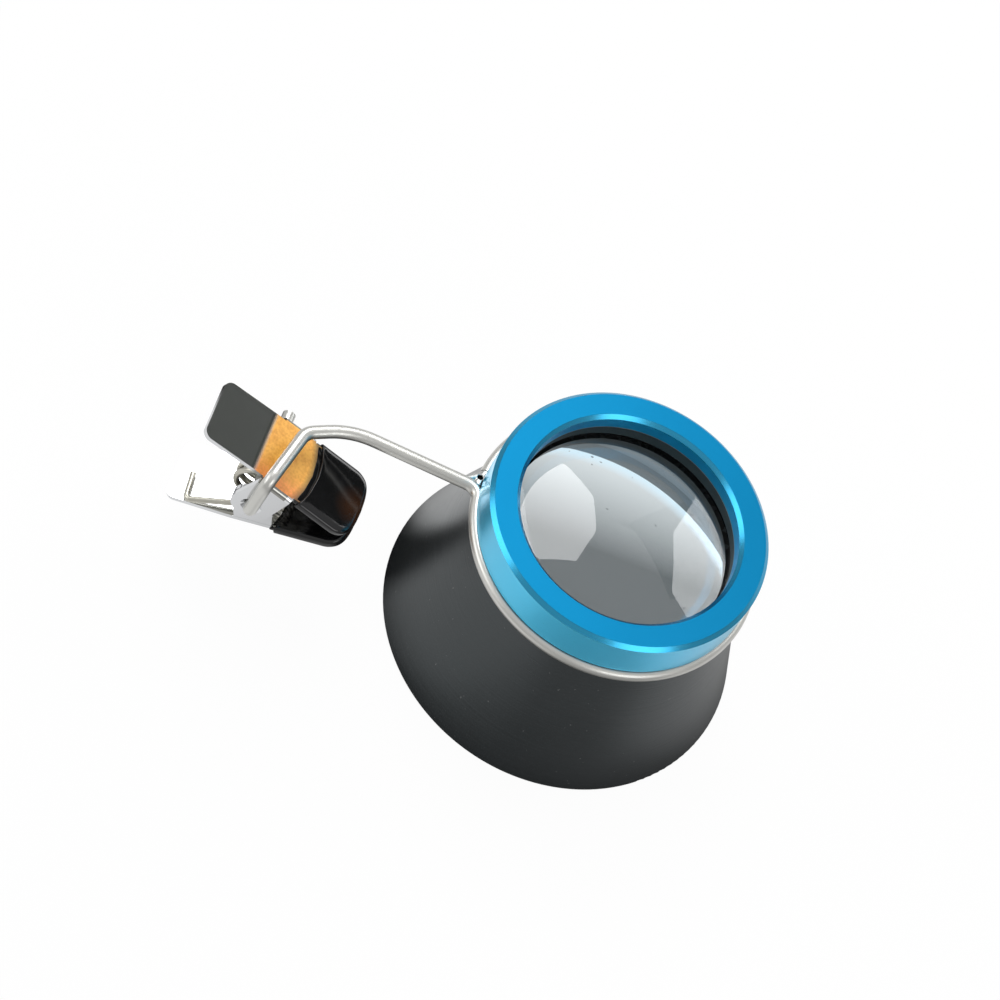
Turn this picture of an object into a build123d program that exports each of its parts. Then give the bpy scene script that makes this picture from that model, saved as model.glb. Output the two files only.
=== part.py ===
from build123d import *
import math
import os

# Clip-on eyeglass loupe, in millimetres. The wide rim of the eyecup stands on Z = 0 with the
# optical axis along +Z through the origin. The wire arm and the clip lie towards -X, and the
# clip's pin runs along Y.

# Eyecup, a turned cone with a neck that carries the bezel and holds the lens
loupe_height = 23.9
rim_radius = 19.4
rim_edge_radius = 0.4
cup_wall = 0.95
mouth_land = 1.6
cell_wall = 0.75
seat_ledge = 0.85
seat_thickness = 2.1
neck_relief = 0.1

# Bezel, the ring screwed on over the neck
bezel_radius = 15.0
bezel_height = 4.7
bezel_wall = 1.75
bezel_outer_chamfer = 0.45
bezel_inner_chamfer = 0.42
aperture_radius = 11.8
aperture_depth = 2.0
thread_clearance = 0.05

# Lens on the neck's seat, held down by a tall thin retainer under the bezel's lip
retainer_bore = 12.0
retainer_height = 1.6
lens_curve_radius = 40.0
lens_edge = 1.6
lens_clearance = 0.05
dome_clearance = 0.2

# Wire arm: one bent wire, a ring on the track under the bezel and an arm that ends as the clip's pin
wire_radius = 0.7
wire_running_clearance = 0.08
wire_side_clearance = 0.15
ring_inset = 0.1
ring_end_azimuth = 175.0
arm_offset = 0.7
junction_bend_radius = 1.6
arm_corner_reach = 29.2
hook_corner_reach = 33.5
hook_corner_offset = 3.3
arm_bend_radius = 9.0
hook_bend_radius = 1.95
drop_bend_radius = 1.6
pin_bend_radius = 1.0
pin_reach = 35.4
pin_drop = 6.4
pin_tail = 3.7
drop_lean = 0.35
pin_clearance = 0.1
drop_clearance = 0.12

# Solder bead between the ring's cut end and the arm's corner
bead_thickness = 1.1
bead_edge_radius = 0.25
bead_length = 1.5
bead_rise = 1.1
bead_hole_radius = 0.24
bead_hole_offset = 0.5
bead_hole_setback = 0.15

# Clip: two bent sheet plates with ears on the pin, each tipped with a dipped sleeve
sheet = 0.5
strip_width = 7.25
strip_middle = -5.7
ear_clearance = 0.12
ear_radius = 2.2
ear_back = 2.1
ear_front = 1.8
inner_bend_radius = 0.12
countersink = 0.35
upper_height = 4.66
upper_crease = 3.34
upper_handle_bend = 2.8
upper_handle_length = 6.4
upper_jaw_length = 8.5
upper_mouth = 2.5
lower_height = 4.0
lower_crease = 2.5
lower_handle_bend = 3.8
lower_handle_length = 7.2
lower_jaw_length = 8.85
lower_mouth = 2.0
jaw_gap = 0.15
handle_corner_radius = 1.0
jaw_corner_radius = 1.3
sleeve_wall = 0.4
sleeve_edge_radius = 0.3
tip_bulge = 0.65
mouth_curve = 0.9

# Torsion spring, wound round the pin between the inner ears
spring_radius = 0.325
coil_radius = 2.55
coil_pitch = 1.1
coil_offset = -0.15
whole_turns = 4
leg_reach = 4.9
leg_lead = 0.7
lower_knee_offset = 3.6
upper_knee_offset = 3.0
foot_length = 3.3
foot_splay = 0.3
elbow_radius = 0.5
leg_seat_gap = 0.05
leg_slide_gap = 0.3

# What a cut runs past the face it opens
overrun = 1.0

# Heights along the optical axis
bezel_bottom = loupe_height - bezel_height
track_height = 2 * (wire_radius + wire_side_clearance)
cone_top = bezel_bottom - track_height
wire_height = bezel_bottom - track_height / 2
pin_height = wire_height - pin_drop
lip_height = loupe_height - aperture_depth
lens_top = lip_height - retainer_height
lens_seat = lens_top - lens_edge
web_base = lens_seat - seat_thickness

# Radii that fit in and on each other
ring_radius = bezel_radius - ring_inset
track_radius = ring_radius - wire_radius - wire_running_clearance
neck_radius = bezel_radius - bezel_wall - thread_clearance
cell_radius = neck_radius - cell_wall
lens_radius = cell_radius - lens_clearance
cap_radius = retainer_bore - dome_clearance
seat_radius = cell_radius - seat_ledge


def cone_radius(height):
    """Outer radius of the eyecup's cone at a height."""
    return rim_radius + (track_radius - rim_radius) * height / cone_top


def half_section(points):
    """Closed half section of a turned piece, from pairs of radius and height."""
    return make_face(Polyline(*[(r, 0, z) for r, z in points], close=True))


def eyecup():
    """Cone with the wire ring's track, the bezel's neck, the lens cell and a straight mouth land."""
    mouth_radius = cone_radius(mouth_land) - cup_wall
    neck_top = lip_height - neck_relief
    section = half_section([
        (mouth_radius, 0),
        (rim_radius, 0),
        (track_radius, cone_top),
        (track_radius, bezel_bottom),
        (neck_radius, bezel_bottom),
        (neck_radius, neck_top),
        (cell_radius, neck_top),
        (cell_radius, lens_seat),
        (seat_radius, lens_seat),
        (seat_radius, web_base),
        (cone_radius(web_base) - cup_wall, web_base),
        (mouth_radius, mouth_land),
    ])
    rim = section.vertices().group_by(Axis.Z)[0].sort_by(Axis.X)[-1]
    return revolve(fillet(rim, rim_edge_radius), Axis.Z)


def bezel_ring():
    """Ring with chamfered edges and a lip that overhangs the lens retainer."""
    socket = bezel_radius - bezel_wall
    return revolve(half_section([
        (socket, bezel_bottom),
        (bezel_radius, bezel_bottom),
        (bezel_radius, loupe_height - bezel_outer_chamfer),
        (bezel_radius - bezel_outer_chamfer, loupe_height),
        (aperture_radius + bezel_inner_chamfer, loupe_height),
        (aperture_radius, loupe_height - bezel_inner_chamfer),
        (aperture_radius, lip_height),
        (socket, lip_height),
    ]), Axis.Z)


def lens_retainer():
    """Thin tall ring in the cell, from the lens's edge up to the bezel's lip."""
    return revolve(half_section([
        (retainer_bore, lens_top),
        (lens_radius, lens_top),
        (lens_radius, lip_height),
        (retainer_bore, lip_height),
    ]), Axis.Z)


def dome(radius):
    """How far the lens's front bulges inside the given radius."""
    return lens_curve_radius - math.sqrt(lens_curve_radius**2 - radius**2)


def lens():
    """Lens with a flat back and a domed front inside a ground seating land."""
    middle = cap_radius / 2
    apex = lens_top + dome(cap_radius)
    outline = Curve() + Polyline((0, 0, apex), (0, 0, lens_seat), (lens_radius, 0, lens_seat),
                                 (lens_radius, 0, lens_top), (cap_radius, 0, lens_top))
    outline += ThreePointArc((cap_radius, 0, lens_top), (middle, 0, apex - dome(middle)), (0, 0, apex))
    return revolve(make_face(outline), Axis.Z)


def upper_ear_reach():
    """Half width over the outer faces of the upper plate's ears."""
    return strip_width / 2 + ear_clearance + sheet


def wire_corners():
    """Corners of the arm from the junction to the tail of the pin."""
    near = strip_middle - upper_ear_reach() - drop_clearance - wire_radius
    far = strip_middle + upper_ear_reach() + pin_tail
    junction = math.sqrt((ring_radius + junction_bend_radius)**2 - (arm_offset + junction_bend_radius)**2)
    return [
        (-junction, -arm_offset, wire_height),
        (-arm_corner_reach, -arm_offset, wire_height),
        (-hook_corner_reach, -hook_corner_offset, wire_height),
        (drop_lean - pin_reach, near, wire_height),
        (-pin_reach, near, pin_height),
        (-pin_reach, far, pin_height),
    ]


def wire_arm():
    """One wire: ring round the track, tight bend outwards, arm, drop beside the ears, and pin."""
    corners = wire_corners()
    arm = FilletPolyline(*corners, radius=[arm_bend_radius, hook_bend_radius, drop_bend_radius, pin_bend_radius])
    bend_x = corners[0][0]
    bend_y = -arm_offset - junction_bend_radius
    lean = math.degrees(math.atan2(-bend_y, -bend_x))
    bend = CenterArc((bend_x, bend_y, wire_height), junction_bend_radius, lean, 90 - lean)
    start = 180 + lean
    ring = CenterArc((0, 0, wire_height), ring_radius, start, ring_end_azimuth + 360 - start)
    path = Wire(arm.edges() + bend.edges() + ring.edges())
    section = Plane(origin=corners[-1], z_dir=(0, -1, 0)) * Circle(wire_radius)
    return sweep(section, path=path)


def ring_solder(wire):
    """Bead of solder that closes the ring on the arm's corner, with the small eye left in it."""
    corner_x, corner_y, _ = wire_corners()[0]
    end = math.radians(ring_end_azimuth)
    end_x = ring_radius * math.cos(end)
    end_y = ring_radius * math.sin(end)
    outline = Polyline(
        (corner_x - bead_length, corner_y),
        (corner_x, corner_y + bead_rise),
        (end_x - wire_radius, end_y + bead_rise),
        (end_x, end_y + bead_rise),
        (end_x, corner_y - wire_radius),
        (corner_x, corner_y - wire_radius),
        close=True,
    )
    bead = Pos(0, 0, wire_height - bead_thickness / 2) * extrude(make_face(outline), bead_thickness)
    bead = fillet(bead.edges().filter_by(GeomType.LINE), bead_edge_radius)
    depth = 2 * bead_thickness
    eye = Pos(end_x - bead_hole_setback, bead_hole_offset, wire_height) * Cylinder(bead_hole_radius, depth)
    core = Pos(0, 0, wire_height) * Cylinder(ring_radius - wire_radius, depth)
    solid = bead - wire - eye - core
    return solid.solids().sort_by(SortBy.VOLUME)[-1]


def strip(height, crease, handle_bend, handle_length, jaw_length):
    """Flat sheet of a clip plate: jaw along +X, outer face at +Z, handle bent inwards."""
    bend = math.radians(handle_bend)
    end_x = -crease - handle_length * math.cos(bend)
    end_z = height - handle_length * math.sin(bend)
    side = Polyline(
        (jaw_length, 0, height),
        (-crease, 0, height),
        (end_x, 0, end_z),
        (end_x + sheet * math.sin(bend), 0, end_z - sheet * math.cos(bend)),
        (-crease + sheet * math.tan(bend / 2), 0, height - sheet),
        (jaw_length, 0, height - sheet),
        close=True,
    )
    body = extrude(make_face(side), amount=strip_width, both=True)
    plan = Pos((jaw_length + end_x) / 2, 0, 0) * Rectangle(jaw_length - end_x, strip_width)
    plan = fillet(plan.vertices().group_by(Axis.X)[0], handle_corner_radius)
    plan = fillet(plan.vertices().group_by(Axis.X)[-1], jaw_corner_radius)
    return body & extrude(plan, amount=2 * height, both=True)


def channel(half_width, height, bend_radius):
    """Cross section of the sheet bent down on both sides, as two walls and a top."""
    depth = height + ear_radius + overrun
    def arch(half, top, radius):
        frame = Pos(0, top - depth / 2) * Rectangle(2 * half, depth)
        return fillet(frame.vertices().group_by(Axis.Y)[-1], radius)
    return arch(half_width, height, bend_radius + sheet) - arch(half_width - sheet, height - sheet, bend_radius)


def clip_plate(plain_strip, height, half_width):
    """Clip plate about its pin: the plain strip with two ears bent inwards along its edges."""
    wall = Plane.YZ * channel(half_width, height, inner_bend_radius)
    walls = extrude(wall, amount=2 * ear_radius, both=True)
    tab = make_face(Polyline(
        (-ear_back, 0, height + overrun),
        (-ear_radius, 0, 0),
        (ear_radius, 0, 0),
        (ear_front, 0, height + overrun),
        close=True,
    ))
    tab += Plane.XZ * Circle(ear_radius)
    ears = walls & extrude(tab, amount=2 * half_width, both=True)
    return plain_strip + ears - Rot(90, 0, 0) * Cylinder(wire_radius + pin_clearance, 4 * half_width)


def upper_clip_plate(plain_strip):
    """Upper plate, whose ears stand outside the lower ones and have dished pin holes."""
    half_width = upper_ear_reach()
    plate = clip_plate(plain_strip, upper_height, half_width)
    for side in (-1, 1):
        dish = Cone(wire_radius + pin_clearance, wire_radius + pin_clearance + countersink, countersink)
        plate -= Pos(0, side * (half_width - countersink / 2), 0) * Rot(-side * 90, 0, 0) * dish
    return plate


def lower_clip_plate(plain_strip):
    """Lower plate, whose ears are flush with its edges."""
    return clip_plate(plain_strip, lower_height, strip_width / 2)


def jaw_sleeve(height, mouth, jaw_length, plain_strip):
    """Dipped sleeve over the end of a jaw: a wall all round, a bowed mouth and a full tip."""
    tip = jaw_length + sleeve_wall
    side = strip_width / 2 + sleeve_wall
    outline = Curve() + Line((mouth, -side), (tip, -side)) + Line((tip, side), (mouth, side))
    outline += ThreePointArc((tip, -side), (tip + tip_bulge, 0), (tip, side))
    outline += ThreePointArc((mouth, side), (mouth + mouth_curve, 0), (mouth, -side))
    plan = make_face(outline)
    plan = fillet(plan.vertices().group_by(Axis.X)[-1], jaw_corner_radius + sleeve_wall)
    base = height - sheet - sleeve_wall
    body = Pos(0, 0, base) * extrude(plan, amount=sheet + 2 * sleeve_wall)
    rims = body.edges().group_by(Axis.Z)[0] + body.edges().group_by(Axis.Z)[-1]
    return fillet(rims, sleeve_edge_radius) - plain_strip


def jaw_slope(height, jaw_length):
    """Angle that brings the tip of a jaw's sleeve to half the gap from the level of the pin."""
    tip = jaw_length + sleeve_wall + tip_bulge
    inner = height - sheet - sleeve_wall
    return math.degrees(math.atan2(inner, tip) - math.asin(jaw_gap / 2 / math.hypot(tip, inner)))


upper_slope = jaw_slope(upper_height, upper_jaw_length)
lower_slope = jaw_slope(lower_height, lower_jaw_length)


def seat_upper(shape):
    """Place a shape built about the pin as the upper half of the clip."""
    return Pos(-pin_reach, strip_middle, pin_height) * Rot(0, upper_slope, 0) * shape


def seat_lower(shape):
    """Place a shape built about the pin, turned over, as the lower half of the clip."""
    return Pos(-pin_reach, strip_middle, pin_height) * Rot(0, -lower_slope, 0) * Rot(180, 0, 0) * shape


def handle_place(height, crease, handle_bend, slope, reach, depth):
    """Place about the pin, as x and outward z, of a point along a handle and inside its outer face."""
    bend = math.radians(handle_bend)
    x = -crease - reach * math.cos(bend) + depth * math.sin(bend)
    z = height - reach * math.sin(bend) - depth * math.cos(bend)
    turn = math.radians(slope)
    return x * math.cos(turn) + z * math.sin(turn), z * math.cos(turn) - x * math.sin(turn)


def upper_handle_place(reach):
    """Place of the spring's wire under the upper handle, which slides on it."""
    depth = sheet + spring_radius + leg_slide_gap
    return handle_place(upper_height, upper_crease, upper_handle_bend, upper_slope, reach, depth)


def lower_handle_place(reach):
    """Place of the spring's wire on the lower handle, which carries it."""
    depth = sheet + spring_radius + leg_seat_gap
    x, z = handle_place(lower_height, lower_crease, lower_handle_bend, lower_slope, reach, depth)
    return x, -z


def biarc(start, start_way, end, end_way):
    """Two arcs that join two points along the directions given there."""
    chord = end - start
    ways = start_way + end_way
    spread = 2 * (1 - start_way.dot(end_way))
    along = chord.dot(ways)
    reach = (math.sqrt(along**2 + spread * chord.dot(chord)) - along) / spread
    first = start + start_way * reach
    last = end - end_way * reach
    middle = (first + last) / 2
    return [TangentArc(start, middle, tangent=start_way), TangentArc(middle, end, tangent=last - first)]


def least_gap(path):
    """Smallest clear distance between one stretch of the spring's wire and another."""
    count = int(path.length / spring_radius)
    points = [path.position_at(i / count) for i in range(count + 1)]
    skip = int(math.pi * coil_radius / spring_radius)
    pairs = ((i, j) for i in range(count + 1) for j in range(i + skip, count + 1))
    return min((points[i] - points[j]).length for i, j in pairs) - 2 * spring_radius


def torsion_spring():
    """Torsion spring: coil round the pin, one leg to each handle, each ending in a bent foot."""
    knee_and_toe = (leg_reach, leg_reach + foot_splay)
    lower, lower_toe = [lower_handle_place(reach) for reach in knee_and_toe]
    upper, upper_toe = [upper_handle_place(reach) for reach in knee_and_toe]

    def swing(place):
        return math.atan2(place[1], place[0])

    def lean(place):
        return math.acos(coil_radius / math.hypot(*place))

    first_angle = swing(lower) + lean(lower)
    last_angle = swing(upper) - lean(upper) + 2 * math.pi * whole_turns
    climb = coil_pitch / (2 * math.pi)
    half_length = climb * (last_angle - first_angle) / 2

    def place(angle):
        y = strip_middle - coil_offset - half_length + climb * (angle - first_angle)
        return Vector(coil_radius * math.cos(angle) - pin_reach, y, coil_radius * math.sin(angle) + pin_height)

    def way(angle):
        return Vector(-coil_radius * math.sin(angle), climb, coil_radius * math.cos(angle)).normalized()

    def leg(angle, elbow, toe, side, knee_offset):
        start = place(angle)
        bend = start + way(angle) * side * leg_lead
        knee = Vector(elbow[0] - pin_reach, strip_middle + side * knee_offset, elbow[1] + pin_height)
        tip = Vector(toe[0] - pin_reach, knee.Y - side * foot_length, toe[1] + pin_height)
        return FilletPolyline(tip, knee, bend, start, radius=elbow_radius)

    steps = round((last_angle - first_angle) / (math.pi / 2))
    angles = [first_angle + (last_angle - first_angle) * i / steps for i in range(steps + 1)]
    edges = leg(first_angle, lower, lower_toe, -1, lower_knee_offset).edges()
    for before, after in zip(angles, angles[1:]):
        for arc in biarc(place(before), way(before), place(after), way(after)):
            edges += arc.edges()
    edges += leg(last_angle, upper, upper_toe, 1, upper_knee_offset).edges()
    path = Wire(edges)
    print("spring: least gap to itself", round(least_gap(path), 3), "mm over", steps, "quarter turns")
    start = path.position_at(0)
    section = Plane(origin=start, z_dir=path.tangent_at(0)) * Circle(spring_radius)
    return sweep(section, path=path)


def build():
    """Every sub-part by its node name."""
    wire = wire_arm()
    upper_strip = strip(upper_height, upper_crease, upper_handle_bend, upper_handle_length, upper_jaw_length)
    lower_strip = strip(lower_height, lower_crease, lower_handle_bend, lower_handle_length, lower_jaw_length)
    return {
        "eyecup": eyecup(),
        "bezel_ring": bezel_ring(),
        "lens_retainer": lens_retainer(),
        "lens": lens(),
        "wire_arm": wire,
        "ring_solder": ring_solder(wire),
        "upper_clip_plate": seat_upper(upper_clip_plate(upper_strip)),
        "upper_jaw_sleeve": seat_upper(jaw_sleeve(upper_height, upper_mouth, upper_jaw_length, upper_strip)),
        "lower_clip_plate": seat_lower(lower_clip_plate(lower_strip)),
        "lower_jaw_sleeve": seat_lower(jaw_sleeve(lower_height, lower_mouth, lower_jaw_length, lower_strip)),
        "torsion_spring": torsion_spring(),
    }


os.makedirs("parts", exist_ok=True)
for name, shape in build().items():
    export_step(shape, f"parts/{name}.step")
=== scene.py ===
import math

import bmesh
import bpy
from mathutils import Matrix, Vector


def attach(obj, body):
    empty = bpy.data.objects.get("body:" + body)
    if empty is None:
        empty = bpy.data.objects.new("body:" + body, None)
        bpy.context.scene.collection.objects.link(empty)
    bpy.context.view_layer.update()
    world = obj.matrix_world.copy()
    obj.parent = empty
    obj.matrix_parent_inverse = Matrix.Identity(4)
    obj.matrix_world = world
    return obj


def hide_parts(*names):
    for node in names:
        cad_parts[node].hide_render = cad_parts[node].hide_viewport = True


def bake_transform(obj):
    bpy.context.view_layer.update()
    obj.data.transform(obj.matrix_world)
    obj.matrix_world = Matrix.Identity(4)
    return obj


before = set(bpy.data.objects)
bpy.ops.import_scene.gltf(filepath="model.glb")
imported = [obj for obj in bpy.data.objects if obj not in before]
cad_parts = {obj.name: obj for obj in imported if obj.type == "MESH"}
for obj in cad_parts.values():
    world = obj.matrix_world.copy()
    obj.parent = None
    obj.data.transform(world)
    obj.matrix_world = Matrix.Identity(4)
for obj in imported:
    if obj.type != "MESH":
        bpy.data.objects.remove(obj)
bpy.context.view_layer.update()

# Eyecup: one turned aluminium cone, black anodised in satin, that stands on its wide rim. Its
# paler inner wall is painted light. The tool has left fine rings round the axis, and handling
# has left a little dust.


class Shade:
    """A shader socket for expressions: the operators add Math nodes, node() adds any other."""

    def __init__(self, tree, socket=None):
        self.tree = tree
        self.socket = socket

    def node(self, kind, settings=None, inputs=None, output=0):
        """Add a node with its settings, then its inputs, and give back one of its outputs."""
        made = self.tree.nodes.new(kind)
        for name, value in (settings or {}).items():
            if name == "stops":
                ramp = made.color_ramp.elements
                for place, colour in value[2:]:
                    ramp.new(place)
                for element, (place, colour) in zip(ramp, value):
                    element.position = place
                    element.color = colour
            else:
                setattr(made, name, value)
        for key, value in (inputs or {}).items():
            if isinstance(value, Shade):
                self.tree.links.new(value.socket, made.inputs[key])
            else:
                made.inputs[key].default_value = value
        return Shade(self.tree, made.outputs[output] if len(made.outputs) else None)

    def maths(self, operation, *values):
        return self.node("ShaderNodeMath", {"operation": operation}, dict(enumerate(values)))

    def __add__(self, other):
        return self.maths("ADD", self, other)

    def __sub__(self, other):
        return self.maths("SUBTRACT", self, other)

    def __rsub__(self, other):
        return self.maths("SUBTRACT", other, self)

    def __mul__(self, other):
        return self.maths("MULTIPLY", self, other)

    def __gt__(self, other):
        return self.maths("GREATER_THAN", self, other)

    def __lt__(self, other):
        return self.maths("LESS_THAN", self, other)

    def __abs__(self):
        return self.maths("ABSOLUTE", self)

    __radd__ = __add__
    __rmul__ = __mul__


def new_material(name):
    """An empty material and the start of its expressions."""
    made = bpy.data.materials.new(name)
    made.use_nodes = True
    made.node_tree.nodes.clear()
    return made, Shade(made.node_tree)


def surface_point(shade):
    """The point of the surface, in the row's frame."""
    return shade.node("ShaderNodeTexCoord", output="Object")


def parts(shade, vector):
    """The x, y and z of a vector."""
    return [shade.node("ShaderNodeSeparateXYZ", {}, {0: vector}, i) for i in range(3)]


def distance(shade, across, along):
    """The length of a flat offset."""
    return shade.maths("SQRT", across * across + along * along)


def noise(shade, vector, scale, detail=2.0, rough=0.5):
    """Grey noise about one half, with its scale in features per metre."""
    return shade.node("ShaderNodeTexNoise", {}, {
        "Vector": vector, "Scale": scale, "Detail": detail, "Roughness": rough,
    })


def swept(shade, first, second, third=0.0):
    """A vector from its parts. With one part left out, noise on it is drawn out that way."""
    return shade.node("ShaderNodeCombineXYZ", {}, {0: first, 1: second, 2: third})


def mix(shade, share, low, high):
    """Blend two colours."""
    return shade.node("ShaderNodeMix", {"data_type": "RGBA"}, {0: share, 6: low, 7: high}, 2)


def bump(shade, height, strength, depth):
    """Normal from a height, with the depth in metres."""
    return shade.node("ShaderNodeBump", {}, {"Height": height, "Strength": strength, "Distance": depth})


def principled(shade, values):
    """Close a material with one Principled surface."""
    surface = shade.node("ShaderNodeBsdfPrincipled", {}, values)
    shade.node("ShaderNodeOutputMaterial", {}, {"Surface": surface})


def dress(node, material):
    """Put a material on a CAD node's own slot."""
    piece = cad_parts[node]
    piece.material_slots[0].material = material


anodised_dark = (0.003, 0.004, 0.0045, 1)
anodised_worn = (0.012, 0.0135, 0.0145, 1)
dust_grey = (0.16, 0.16, 0.16, 1)
inner_painted_light = (0.075, 0.095, 0.105, 1)

cone_black, cone = new_material("black_anodised")
point = surface_point(cone)
x, y, z = parts(cone, point)
tool_rings = noise(cone, swept(cone, distance(cone, x, y), z), scale=3400, detail=4, rough=0.7)
cloud = noise(cone, point, scale=160, detail=3)
specks = noise(cone, point, scale=3000, detail=0) > 0.85
cone_colour = mix(cone, 0.4 * cloud + 0.6 * tool_rings, anodised_dark, anodised_worn)
outer_colour = mix(cone, specks * 0.5, cone_colour, dust_grey)
facing_x, facing_y = parts(cone, cone.node("ShaderNodeTexCoord", output="Normal"))[:2]
# The paler inner wall is painted light.
faces_inwards = (x * facing_x + y * facing_y) < 0
principled(cone, {
    "Base Color": mix(cone, faces_inwards, outer_colour, inner_painted_light),
    "Roughness": 0.22 + 0.10 * cloud + 0.06 * tool_rings,
    "Metallic": 0.0,
    "Specular IOR Level": 0.85,
    "Specular Tint": (0.88, 0.97, 1.0, 1),
    "Normal": bump(cone, tool_rings, strength=0.5, depth=0.00005),
})
dress("eyecup", cone_black)

# Bezel: turned aluminium ring, anodised blue, screwed on over the eyecup's neck. Its broad face
# is finely blasted, its wall and chamfers are turned bright, and the lip inside stays dull. The
# wall's lighter blue is a painted reflection, and a painted highlight runs round the lip's lower
# edge.

bezel_top = 0.0239
bezel_radius = 0.0150
bezel_chamfer = 0.00045
wall_skin = 0.0004
lip_radius = 0.0118
lip_bottom = 0.0219
highlight_line_height = 0.00011
hair = 0.00002
face_dark = (0.004, 0.180, 0.370, 1)
face_light = (0.006, 0.222, 0.445, 1)
wall_painted_reflection = (0.065, 0.60, 0.92, 1)
chamfer_colour = (0.04, 0.34, 0.56, 1)
lip_colour = (0.012, 0.48, 0.92, 1)
lip_painted_highlight = (0.30, 0.36, 0.38, 1)

bezel_blue, bezel = new_material("blue_anodised")
point = surface_point(bezel)
x, y, z = parts(bezel, point)
radius = distance(bezel, x, y)
blasted = noise(bezel, point, scale=5200)
turned = noise(bezel, swept(bezel, radius, z), scale=11000)
drift = noise(bezel, point, scale=90)
below_chamfer = z < bezel_top - bezel_chamfer
on_chamfer = (z < bezel_top - hair) * (z > bezel_top - bezel_chamfer - hair)
on_wall = (radius > bezel_radius - wall_skin) * below_chamfer
on_lip = (radius < lip_radius + hair) * below_chamfer
# A thin painted highlight runs round the lip's lower edge.
on_highlight_line = on_lip * (z < lip_bottom + highlight_line_height)
face_blue = mix(bezel, 0.35 * blasted + 0.65 * drift, face_dark, face_light)
# The wall's lighter blue is a painted reflection.
wall_blue = mix(bezel, on_wall, face_blue, wall_painted_reflection)
chamfer_blue = mix(bezel, on_chamfer, wall_blue, chamfer_colour)
lip_blue = mix(bezel, on_lip, chamfer_blue, lip_colour)
principled(bezel, {
    "Base Color": mix(bezel, on_highlight_line, lip_blue, lip_painted_highlight),
    "Roughness": 0.40 + 0.06 * blasted - 0.19 * on_chamfer - 0.14 * on_wall,
    "Metallic": 1 - 0.3 * on_wall,
    "Coat Weight": 0.04 + 0.36 * on_wall,
    "Coat Roughness": 0.12,
    "Normal": bump(bezel, 0.6 * blasted + 0.4 * turned, strength=0.14, depth=0.00001),
})
dress("bezel_ring", bezel_blue)

# Lens retainer: a thin turned ring, black against stray light, with fine steps cut round it. It
# stands between the bezel's lip and the edge of the lens.

trim_dark = (0.016, 0.034, 0.040, 1)
trim_light = (0.028, 0.050, 0.058, 1)

trim_black, trim = new_material("matt_black_ring")
point = surface_point(trim)
x, y, z = parts(trim, point)
steps = noise(trim, swept(trim, distance(trim, x, y), z), scale=16000, detail=1)
principled(trim, {
    "Base Color": mix(trim, noise(trim, point, scale=700), trim_dark, trim_light),
    "Roughness": 0.34 + 0.14 * steps,
    "Normal": bump(trim, steps, strength=0.5, depth=0.00002),
})
dress("lens_retainer", trim_black)

# Lens: one ground and polished glass lens, flat behind and domed in front, dropped into the
# cup's seat. It carries a few dust grains.

clear_tint = (0.97, 0.985, 0.99, 1)
grain_grey = (0.55, 0.56, 0.56, 1)

lens_clear, lens = new_material("polished_glass")
dust = noise(lens, surface_point(lens), scale=1900, detail=0) > 0.87
principled(lens, {
    "Base Color": mix(lens, dust, clear_tint, grain_grey),
    "Roughness": 0.25 * dust,
    "Transmission Weight": 1.0,
    "IOR": 1.52,
})
dress("lens", lens_clear)

# Wire arm: one drawn stainless wire, bent to a ring that turns in the groove, an arm and the
# clip's pin. Drawing has left fine lines along it.

ring_reach = 0.0155
wire_dark = (0.53, 0.53, 0.50, 1)
wire_light = (0.68, 0.675, 0.645, 1)

wire_steel, wire = new_material("drawn_steel")
point = surface_point(wire)
x, y, z = parts(wire, point)
round_ring = swept(wire, distance(wire, x, y), z)
along_arm = swept(wire, y, z)
lines = wire.node("ShaderNodeMix", {"data_type": "VECTOR"},
                  {0: x < -ring_reach, 4: round_ring, 5: along_arm}, 1)
drawn = noise(wire, lines, scale=6500, detail=3, rough=0.6)
tarnish = noise(wire, point, scale=260, detail=3)
principled(wire, {
    "Base Color": mix(wire, tarnish, wire_dark, wire_light),
    "Roughness": 0.26 + 0.20 * drawn,
    "Metallic": 1.0,
    "Normal": bump(wire, drawn, strength=0.35, depth=0.00003),
})
dress("wire_arm", wire_steel)

# Solder bead: silver solder that has run into the corner between the ring's cut end and the arm,
# smooth where it flowed, with one small eye that it didn't fill, whose darkness is painted shade.

wire_height = 0.01835
bead_radius = 0.0006
web_radius = 0.0005
bead_path = [Vector((-0.01484, 0.0015)), Vector((-0.01525, 0.0001)), Vector((-0.01535, -0.0010))]
web_path = [Vector((-0.0169, -0.0006)), Vector((-0.0156, 0.00045))]
drops_per_run = 8
eye = Vector((-0.01533, 0.00033))
eye_radius = 0.00034
eye_depth = 0.00045
shaded_share = 0.85
modelling_scale = 1000
voxel_in_scale = 0.06
solder_dark = (0.42, 0.43, 0.42, 1)
solder_light = (0.56, 0.57, 0.56, 1)
eye_painted_shade = (0.012, 0.012, 0.011, 1)

solder_grey, solder = new_material("silver_solder")
point = surface_point(solder)
x, y, z = parts(solder, point)
lumps = noise(solder, point, scale=900)
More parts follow.
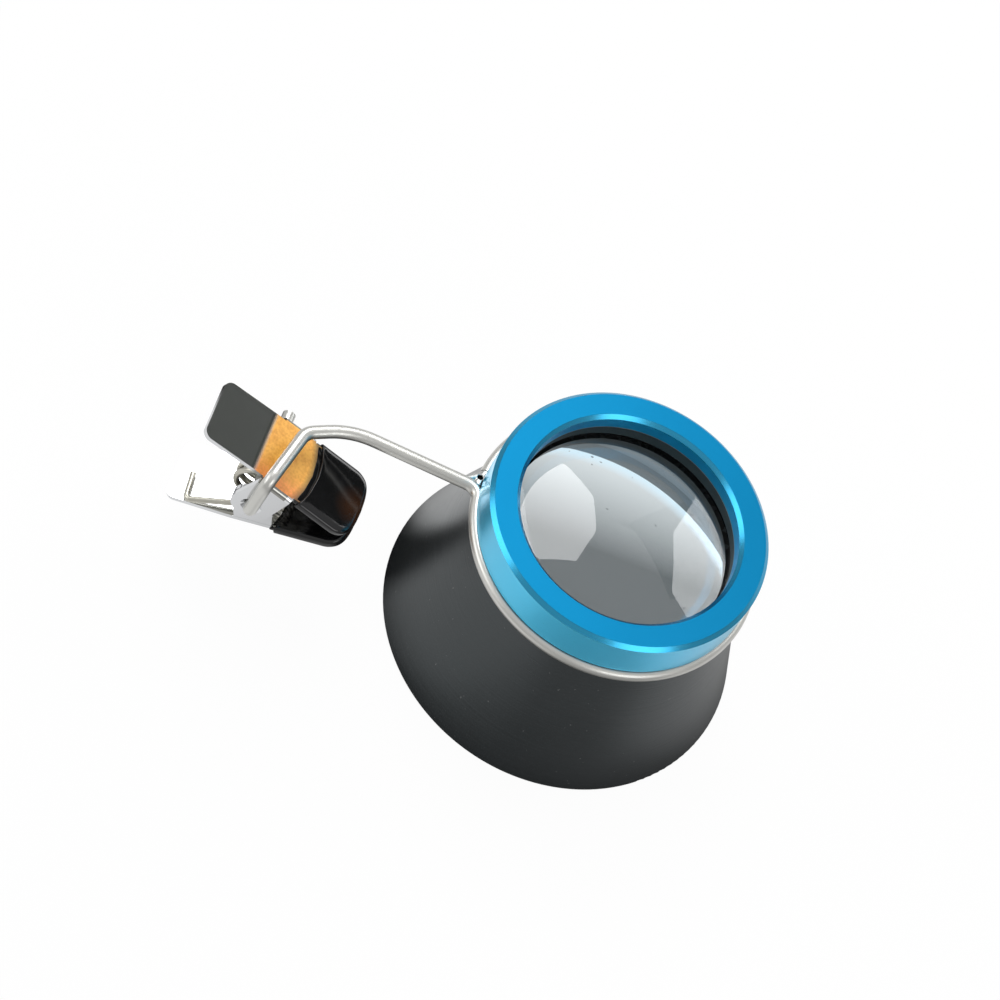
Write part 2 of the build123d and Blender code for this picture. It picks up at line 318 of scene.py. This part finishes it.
# The eye's darkness is painted shade.
in_eye = (distance(solder, x - eye.x, y - eye.y) < shaded_share * eye_radius) * (z > wire_height)
principled(solder, {
    "Base Color": mix(solder, in_eye, mix(solder, lumps, solder_dark, solder_light), eye_painted_shade),
    "Roughness": 0.26 + 0.2 * lumps,
    "Metallic": 1.0,
    "Normal": bump(solder, lumps, strength=0.3, depth=0.00005),
})
mesh = bmesh.new()
for route, drop_radius in ((bead_path, bead_radius), (web_path, web_radius)):
    for first, second in zip(route, route[1:]):
        for i in range(drops_per_run + 1):
            centre = first.lerp(second, i / drops_per_run)
            place = Vector((centre.x, centre.y, wire_height)) * modelling_scale
            bmesh.ops.create_icosphere(mesh, subdivisions=3, radius=drop_radius * modelling_scale,
                                       matrix=Matrix.Translation(place))
data = bpy.data.meshes.new("solder_shape")
mesh.to_mesh(data)
mesh.free()
shape = bpy.data.objects.new("solder_shape", data)
bpy.context.scene.collection.objects.link(shape)
joined = shape.modifiers.new("joined", "REMESH")
joined.mode = "VOXEL"
joined.voxel_size = voxel_in_scale
smoothed = shape.modifiers.new("smoothed", "SMOOTH")
smoothed.factor = 0.6
smoothed.iterations = 14
flowed = bpy.data.meshes.new_from_object(shape.evaluated_get(bpy.context.evaluated_depsgraph_get()))
bpy.data.objects.remove(shape)
for vertex in flowed.vertices:
    vertex.co /= modelling_scale
    share = (vertex.co.xy - eye).length / eye_radius
    if share < 1 and vertex.co.z > wire_height:
        vertex.co.z -= eye_depth * (1 - share**2)
flowed.shade_smooth()
flowed.materials.append(solder_grey)
bead = bpy.data.objects.new("solder_bead", flowed)
bpy.context.scene.collection.objects.link(bead)
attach(bead, "arm")
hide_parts("ring_solder")

# Clip plates: two strips of bright nickel-plated steel sheet, stamped and bent, with ears on the
# pin. A mottled amber reflection is painted on the upper jaw, from its crease to the sleeve, redder
# on its near side, with painted olive shade at its crease, on the ear's bend and by the sleeve.

pin = Vector((-0.0354, -0.0057, 0.01195))
sheet = 0.0005
half_width = 0.003625
dip = 0.0004
jaw_gap = 0.00015
upper_height = 0.00466
upper_crease = 0.00334
upper_jaw = 0.0085
tip_bulge = 0.00065
mouth_curve = 0.0009
nickel_dark = (0.66, 0.67, 0.685, 1)
nickel_light = (0.77, 0.78, 0.79, 1)
olive_painted_shade = (0.17, 0.165, 0.13, 1)
sleeve_painted_shade = (0.075, 0.070, 0.040, 1)
amber_dark = (0.80, 0.35, 0.050, 1)
amber_light = (1.00, 0.52, 0.090, 1)
red_reflection_dark = (0.70, 0.21, 0.050, 1)
red_reflection_light = (0.96, 0.34, 0.090, 1)
reflection_rise = (-upper_crease - 0.0002, -upper_crease + 0.0003)
crease_rise = (-upper_crease - 0.0011, -upper_crease - 0.0006)
sleeve_rise = (0.0013, 0.0021)
red_rise = (-0.0012, -0.0038)
red_raggedness = 0.004
blotch_rise = (0.36, 0.60)
shoulder_depth = 0.0006
shoulder_end = 0.0013


def jaw_slope(height, jaw):
    """Angle of a jaw that brings the lower face of its dipped tip to half the gap from the pin's level."""
    inner = height - sheet - dip
    reach = jaw + dip + tip_bulge
    return math.atan2(inner, reach) - math.asin(jaw_gap / 2 / math.hypot(reach, inner))


def fade(shade, value, start, end):
    """Zero before the start and one after the end, with a straight rise between them."""
    return shade.node("ShaderNodeMapRange", {}, {"Value": value, "From Min": start, "From Max": end})


def painted_amber_reflection(nickel, point, plated):
    """The upper jaw's painted amber reflection and painted olive shade over its plated colour, and how
    strongly the reflection covers each point.
    """
    x, y, z = parts(nickel, point)
    slope = jaw_slope(upper_height, upper_jaw)
    ahead = (x - pin.x) * math.cos(slope) - (z - pin.z) * math.sin(slope)
    above = (x - pin.x) * math.sin(slope) + (z - pin.z) * math.cos(slope)
    aside = y - pin.y
    across = aside * (1 / half_width)
    on_face = above > upper_height - hair
    # The mottled amber and red patch is a painted reflection.
    past_crease = fade(nickel, ahead, *reflection_rise)
    covered = on_face * past_crease
    # The olive at the crease, on the ear's bend and by the sleeve is painted shade.
    at_crease = on_face * fade(nickel, ahead, *crease_rise)
    by_sleeve = on_face * fade(nickel, ahead - mouth_curve * (1 - across * across), *sleeve_rise)
    at_edge = (above > upper_height - shoulder_depth) * (1 - on_face)
    on_shoulder = at_edge * (ahead < shoulder_end) * past_crease
    coarse = noise(nickel, point, scale=900, detail=3, rough=0.6)
    blotch = 0.6 * coarse + 0.4 * noise(nickel, point, scale=3600)
    mottle_share = fade(nickel, blotch, *blotch_rise)
    redder = fade(nickel, aside - red_raggedness * (blotch - 0.5), *red_rise)
    amber = mix(nickel, mottle_share, amber_dark, amber_light)
    red_reflection = mix(nickel, mottle_share, red_reflection_dark, red_reflection_light)
    colour = mix(nickel, 0.75 * on_shoulder, plated, olive_painted_shade)
    colour = mix(nickel, 0.35 * at_crease, colour, olive_painted_shade)
    colour = mix(nickel, covered, colour, mix(nickel, redder, amber, red_reflection))
    return mix(nickel, 0.8 * by_sleeve, colour, sleeve_painted_shade), covered


def nickel_plate(name, with_reflection):
    """Nickel plate that mirrors its surroundings a little broken up, with or without the painted amber
    reflection.
    """
    made, nickel = new_material(name)
    point = surface_point(nickel)
    rolled = noise(nickel, point, scale=420, detail=3)
    grain = noise(nickel, point, scale=5200)
    colour = mix(nickel, noise(nickel, point, scale=140), nickel_dark, nickel_light)
    rough = 0.05 + 0.08 * grain
    metal = 1.0
    if with_reflection:
        colour, covered = painted_amber_reflection(nickel, point, colour)
        rough = rough + 0.38 * covered
        metal = 1 - 0.9 * covered
    principled(nickel, {
        "Base Color": colour,
        "Roughness": rough,
        "Metallic": metal,
        "Normal": bump(nickel, 0.8 * rolled + 0.2 * grain, strength=0.1, depth=0.00003),
    })
    return made


dress("upper_clip_plate", nickel_plate("nickel_with_painted_reflection", True))
dress("lower_clip_plate", nickel_plate("bright_nickel", False))

# Torsion spring: hard steel wire wound round the pin, a leg along each handle and a bent foot on
# it.

spring_dark = (0.46, 0.45, 0.39, 1)
spring_light = (0.62, 0.60, 0.53, 1)

spring_steel, coil = new_material("spring_steel")
point = surface_point(coil)
oiled = noise(coil, point, scale=900, detail=3)
principled(coil, {
    "Base Color": mix(coil, oiled, spring_dark, spring_light),
    "Roughness": 0.28 + 0.12 * oiled,
    "Metallic": 1.0,
    "Normal": bump(coil, noise(coil, point, scale=9000), strength=0.1, depth=0.000006),
})
spring = bpy.data.objects.new("spring_wire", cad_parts["torsion_spring"].data.copy())
bpy.context.scene.collection.objects.link(spring)
spring.data.materials.clear()
spring.data.materials.append(spring_steel)
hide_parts("torsion_spring")
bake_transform(spring)

# Jaw sleeves: each jaw is dipped twice in black vinyl. The first dip ends in a thin edge on the
# bare sheet, the second in a small rounded step, and the coat gathers at the tip.

thin_dip = 0.00005
thin_length = 0.0005
thin_bevel_share = 0.2
step_length = 0.00013
tip_corner = 0.0017
edge_round = 0.00062
step_rings = 6
body_rings = 11
tip_rings = 24
around = 72
width_power = 0.28
height_power = 0.55
crown_share = 0.04
narrowing_share = 0.5
sharp_angle = math.radians(50)
brown_reflection_spot = Vector((-0.0255, -0.0060))
patch_rise = (0.0026, 0.0008)
vinyl_dark = (0.002, 0.002, 0.0025, 1)
vinyl_light = (0.005, 0.005, 0.006, 1)
painted_brown_reflection = (0.034, 0.012, 0.004, 1)

vinyl_black, vinyl = new_material("dipped_vinyl")
point = surface_point(vinyl)
x, y = parts(vinyl, point)[:2]
ripple = noise(vinyl, point, scale=300)
black = mix(vinyl, ripple, vinyl_dark, vinyl_light)
# A brown spot on the upper sleeve's top is a painted reflection.
from_patch = distance(vinyl, x - brown_reflection_spot.x, y - brown_reflection_spot.y)
principled(vinyl, {
    "Base Color": mix(vinyl, fade(vinyl, from_patch, *patch_rise), black, painted_brown_reflection),
    "Roughness": 0.06 + 0.08 * noise(vinyl, point, scale=1200),
    "Normal": bump(vinyl, ripple, strength=0.25, depth=0.00008),
})


def sleeve_rings(mouth, tip, full_height):
    """Places along a sleeve and the half height there: thin edge, rounded step, body, round tip."""
    bare = sheet / 2
    thin = bare + thin_dip
    step_end = mouth + step_length
    body_end = tip - tip_corner
    rings = [
        (mouth - thin_length, bare - thin_dip),
        (mouth - thin_length, bare + thin_dip / 4),
        (mouth - thin_length * (1 - thin_bevel_share), thin),
        (mouth, thin),
    ]
    for i in range(1, step_rings + 1):
        turn = math.pi / 2 * i / step_rings
        high = thin + (full_height - thin) * math.sin(turn)
        rings.append((mouth + step_length * (1 - math.cos(turn)), high))
    for i in range(1, body_rings + 1):
        rings.append((step_end + (body_end - step_end) * i / body_rings, full_height))
    for i in range(1, tip_rings + 1):
        at = body_end + tip_corner * math.sin(math.pi / 2 * i / tip_rings)
        into_edge = max(0.0, at - (tip - edge_round)) / edge_round
        high = full_height - edge_round + edge_round * math.sqrt(max(0.0, 1 - into_edge**2))
        rings.append((at, high))
    return rings


def sleeve(name, node, body, height, jaw, mouth, side):
    """Loft rings of a flattened section along the jaw, bowed at the mouth and the tip."""
    tip = jaw + dip
    lean = Matrix.Rotation(side * jaw_slope(height, jaw), 3, "Y")
    middle = height - sheet / 2
    full_width = half_width + dip
    full_height = sheet / 2 + dip
    mesh = bmesh.new()
    hoops = []
    for at, high in sleeve_rings(mouth, tip, full_height):
        into_corner = max(0.0, at - (tip - tip_corner))
        corner = tip_corner - math.sqrt(max(0.0, tip_corner**2 - into_corner**2))
        wide = full_width - corner - (full_height - high) * narrowing_share
        bow = mouth_curve + (tip_bulge - mouth_curve) * (at - mouth) / (tip - mouth)
        hoop = []
        for k in range(around):
            turn = 2 * math.pi * k / around
            across = math.copysign(abs(math.cos(turn)) ** width_power, math.cos(turn))
            up = math.copysign(abs(math.sin(turn)) ** height_power, math.sin(turn))
            v = wide * across
            u = at + bow * (1 - (v / full_width) ** 2)
            n = middle + high * up * (1 - crown_share * (1 - abs(across)))
            hoop.append(mesh.verts.new(pin + lean @ Vector((u, side * v, side * n))))
        hoops.append(hoop)
    for before, after in zip(hoops, hoops[1:]):
        for k in range(around):
            following = (k + 1) % around
            mesh.faces.new((before[k], before[following], after[following], after[k]))
    mesh.faces.new(hoops[0])
    mesh.faces.new(hoops[-1])
    bmesh.ops.recalc_face_normals(mesh, faces=mesh.faces)
    data = bpy.data.meshes.new(name)
    mesh.to_mesh(data)
    mesh.free()
    data.shade_smooth()
    data.set_sharp_from_angle(angle=sharp_angle)
    data.materials.append(vinyl_black)
    piece = bpy.data.objects.new(name, data)
    bpy.context.scene.collection.objects.link(piece)
    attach(piece, body)
    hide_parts(node)


sleeve("upper_dip", "upper_jaw_sleeve", "upper_jaw",
       height=upper_height, jaw=upper_jaw, mouth=0.0025, side=1)
sleeve("lower_dip", "lower_jaw_sleeve", "lower_jaw",
       height=0.0040, jaw=0.00885, mouth=0.0022, side=-1)

# Table: a plain white studio floor. It keeps the loupe's shadow, and shows white where the camera
# or the glass sees it. Under the cup it is grey, lit from its far side, and metal sees it lit in
# bands round the cup and dark in front of it and under the clip.

floor_radius = 1.6
floor_sides = 96
floor_drop = 0.00003
floor_white = (0.86, 0.86, 0.86, 1)
cup_mouth = 0.018
cup_edge_rise = (0.0173, 0.0178)
cup_far_rise = (0.0123, 0.0178)
cup_dark = (0.11, 0.128, 0.135, 1)
cup_lit = (0.74, 0.80, 0.82, 1)
cup_edge = (0.72, 0.90, 1.0, 1)
shadow_way = (0.39, 0.92)
shadow_spot = (-0.017, -0.0015)
shadow_rise = (0.0055, 0.0025)
near_rise = (0.020, 0.042)
band_rise = (0.036, 0.030)
left_way = (-0.966, -0.259)
left_rise = (0.018, 0.024)
back_way = (-0.91, 0.42)
back_rise = (0.017, 0.022)
back_side_rise = (0.004, 0.008)
right_rise = (0.018, 0.024)
front_rise = (0.020, 0.030)
front_side_rise = (-0.020, 0.0)


def towards(way, x, y):
    """How far a point of the floor lies along a flat direction."""
    return way[0] * x + way[1] * y


floor_paint, table = new_material("white_table")
sees = {name: table.node("ShaderNodeLightPath", output=name)
        for name in ("Is Camera Ray", "Is Glossy Ray", "Is Transmission Ray")}
x, y = parts(table, surface_point(table))[:2]
radius = distance(table, x, y)
under_cup = radius < cup_mouth
cup_shade = mix(table, fade(table, y, *cup_far_rise), cup_dark, cup_lit)
cup_light = mix(table, fade(table, radius, *cup_edge_rise), cup_shade, cup_edge)
from_shadow = abs(towards(shadow_way, x - shadow_spot[0], y - shadow_spot[1]))
clip_shadow = (x < 0) * fade(table, from_shadow, *shadow_rise)
close_by = fade(table, radius, *band_rise)
left_light = 0.45 * close_by * fade(table, towards(left_way, x, y), *left_rise)
back_side = fade(table, y, *back_side_rise)
back_light = 0.9 * close_by * fade(table, towards(back_way, x, y), *back_rise) * back_side
right_light = 0.3 * close_by * fade(table, x, *right_rise)
front_side = fade(table, x, *front_side_rise)
front_dimming = 1 - 0.5 * front_side * fade(table, -1 * y, *front_rise)
near_light = (0.16 + 0.72 * fade(table, radius, *near_rise)) * front_dimming
mirrored = (near_light + left_light + back_light + right_light) * (1 - 0.95 * clip_shadow)
grey = swept(table, mirrored, mirrored, mirrored)
shine = mix(table, sees["Is Glossy Ray"], (1, 1, 1, 1), grey)
share = 0.96 * sees["Is Camera Ray"] + sees["Is Glossy Ray"] + sees["Is Transmission Ray"] + under_cup
paint = table.node("ShaderNodeBsdfDiffuse", {}, {"Color": floor_white})
light = mix(table, under_cup, shine, cup_light)
glow = table.node("ShaderNodeEmission", {}, {"Color": light, "Strength": 1.0})
top_share = share.maths("MINIMUM", share, 1.0)
surface = table.node("ShaderNodeMixShader", {}, {0: top_share, 1: paint, 2: glow})
table.node("ShaderNodeOutputMaterial", {}, {"Surface": surface})
mesh = bmesh.new()
bmesh.ops.create_circle(mesh, cap_ends=True, segments=floor_sides, radius=floor_radius)
data = bpy.data.meshes.new("table_top")
mesh.to_mesh(data)
mesh.free()
data.materials.append(floor_paint)
table_top = bpy.data.objects.new("table_top", data)
table_top.location.z = -floor_drop
bpy.context.scene.collection.objects.link(table_top)

# Room: white behind everything that the camera or the glass sees. Metal sees a room that is
# brighter above than at its horizon.

air_light = (0.42, 0.42, 0.42, 1)
sky_greys = [(0.0, 0.45), (0.35, 0.55), (1.0, 0.75)]

room = bpy.data.worlds.new("studio")
bpy.context.scene.world = room
room.use_nodes = True
room.node_tree.nodes.clear()
air = Shade(room.node_tree)
height = parts(air, air.node("ShaderNodeTexCoord", output="Generated"))[2]
stops = [(place, (level, level, level, 1)) for place, level in sky_greys]
sky = air.node("ShaderNodeValToRGB", {"stops": stops}, {0: height})
is_camera = air.node("ShaderNodeLightPath", output="Is Camera Ray")
is_glossy = air.node("ShaderNodeLightPath", output="Is Glossy Ray")
is_through = air.node("ShaderNodeLightPath", output="Is Transmission Ray")
white = is_camera.maths("MAXIMUM", is_camera, is_through)
air_colour = mix(air, white, mix(air, is_glossy, air_light, sky), (1, 1, 1, 1))
surround = air.node("ShaderNodeBackground", {}, {"Color": air_colour, "Strength": 1.0})
air.node("ShaderNodeOutputWorld", {}, {"Surface": surround})

# Lights: two softboxes behind, high at the left and lower at the right, two low ones at the left
# and in front, and a small grey card that gives the upper handle its dark reflection.

box_distance = 0.62
left_corners = [(-0.069, -0.171), (-0.123, -0.051), (-0.116, 0.081), (-0.043, 0.200), (0.076, 0.193),
                (0.165, 0.095), (0.185, -0.060), (0.120, -0.190), (-0.002, -0.203)]
right_corners = [(0.155, -0.126), (0.132, 0.006), (-0.024, 0.175), (-0.167, 0.154),
                 (-0.255, 0.040), (-0.235, -0.110), (-0.110, -0.230), (0.060, -0.235)]
low_width = 0.20
low_height = 0.13
low_stretch = 1.35
low_turns = [math.radians(22.5 + 45 * k) for k in range(8)]
front_corners = [(low_width * math.cos(turn), low_height * math.sin(turn)) for turn in low_turns]
side_corners = [(low_stretch * a, b) for a, b in front_corners]
card_distance = 0.24
card_corners = [(-0.05, -0.075), (0.05, -0.075), (0.05, 0.05), (-0.05, 0.05)]
card_grey = (0.066, 0.070, 0.062, 1)
card_target = (-0.034, -0.0057, 0.0152)


def panel(name, direction, away, corners, colour, strength, metal_only=False):
    """A flat glowing panel square to a direction from the loupe, with its corners in its own plane."""
    direction = Vector(direction).normalized()
    level = Vector((0, 0, 1)).cross(direction).normalized()
    rise = direction.cross(level)
    mesh = bmesh.new()
    mesh.faces.new([mesh.verts.new(direction * away + level * a + rise * b) for a, b in corners])
    data = bpy.data.meshes.new(name)
    mesh.to_mesh(data)
    mesh.free()
    material, shade = new_material(name)
    glow = shade.node("ShaderNodeEmission", {}, {"Color": colour, "Strength": strength})
    shade.node("ShaderNodeOutputMaterial", {}, {"Surface": glow})
    data.materials.append(material)
    made = bpy.data.objects.new(name, data)
    bpy.context.scene.collection.objects.link(made)
    made.visible_camera = False
    made.visible_shadow = False
    if metal_only:
        made.visible_diffuse = False
        made.visible_transmission = False
    return made


panel("left_softbox", (-0.210, 0.508, 0.836), box_distance, left_corners, (1, 1, 1, 1), 6.5)
panel("right_softbox", (0.487, 0.696, 0.527), box_distance, right_corners, (1, 1, 1, 1), 4.0)
panel("side_softbox", (-0.895, -0.125, 0.43), box_distance, side_corners, (1, 1, 1, 1), 3.0)
panel("front_softbox", (0.60, -0.645, 0.47), box_distance, front_corners, (1, 1, 1, 1), 3.0)
card = panel("dark_card", (0.521, 0.557, 0.646), card_distance, card_corners, card_grey, 1.0,
             metal_only=True)
card.location = card_target

# Camera: from above and in front, a little rolled, with a long lens, so that it sees the loupe
# from the photograph's side.

camera_place = (-0.05521, -0.23917, 0.36666)
view_direction = Vector((0.1005, 0.5618, -0.8212))
picture_right = Vector((0.9045, 0.2921, 0.3106))

sight = bpy.data.objects.new("camera", bpy.data.cameras.new("camera"))
sight.data.lens = 149.8
sight.data.sensor_width = 36
sight.data.clip_start = 0.01
sight.data.clip_end = 20
ahead = view_direction.normalized()
right = (picture_right - ahead * picture_right.dot(ahead)).normalized()
up = right.cross(ahead)
turn = Matrix((right, up, -ahead)).transposed().to_4x4()
sight.matrix_world = Matrix.Translation(camera_place) @ turn
bpy.context.scene.collection.objects.link(sight)
bpy.context.scene.camera = sight
bpy.context.scene.view_settings.view_transform = "Standard"
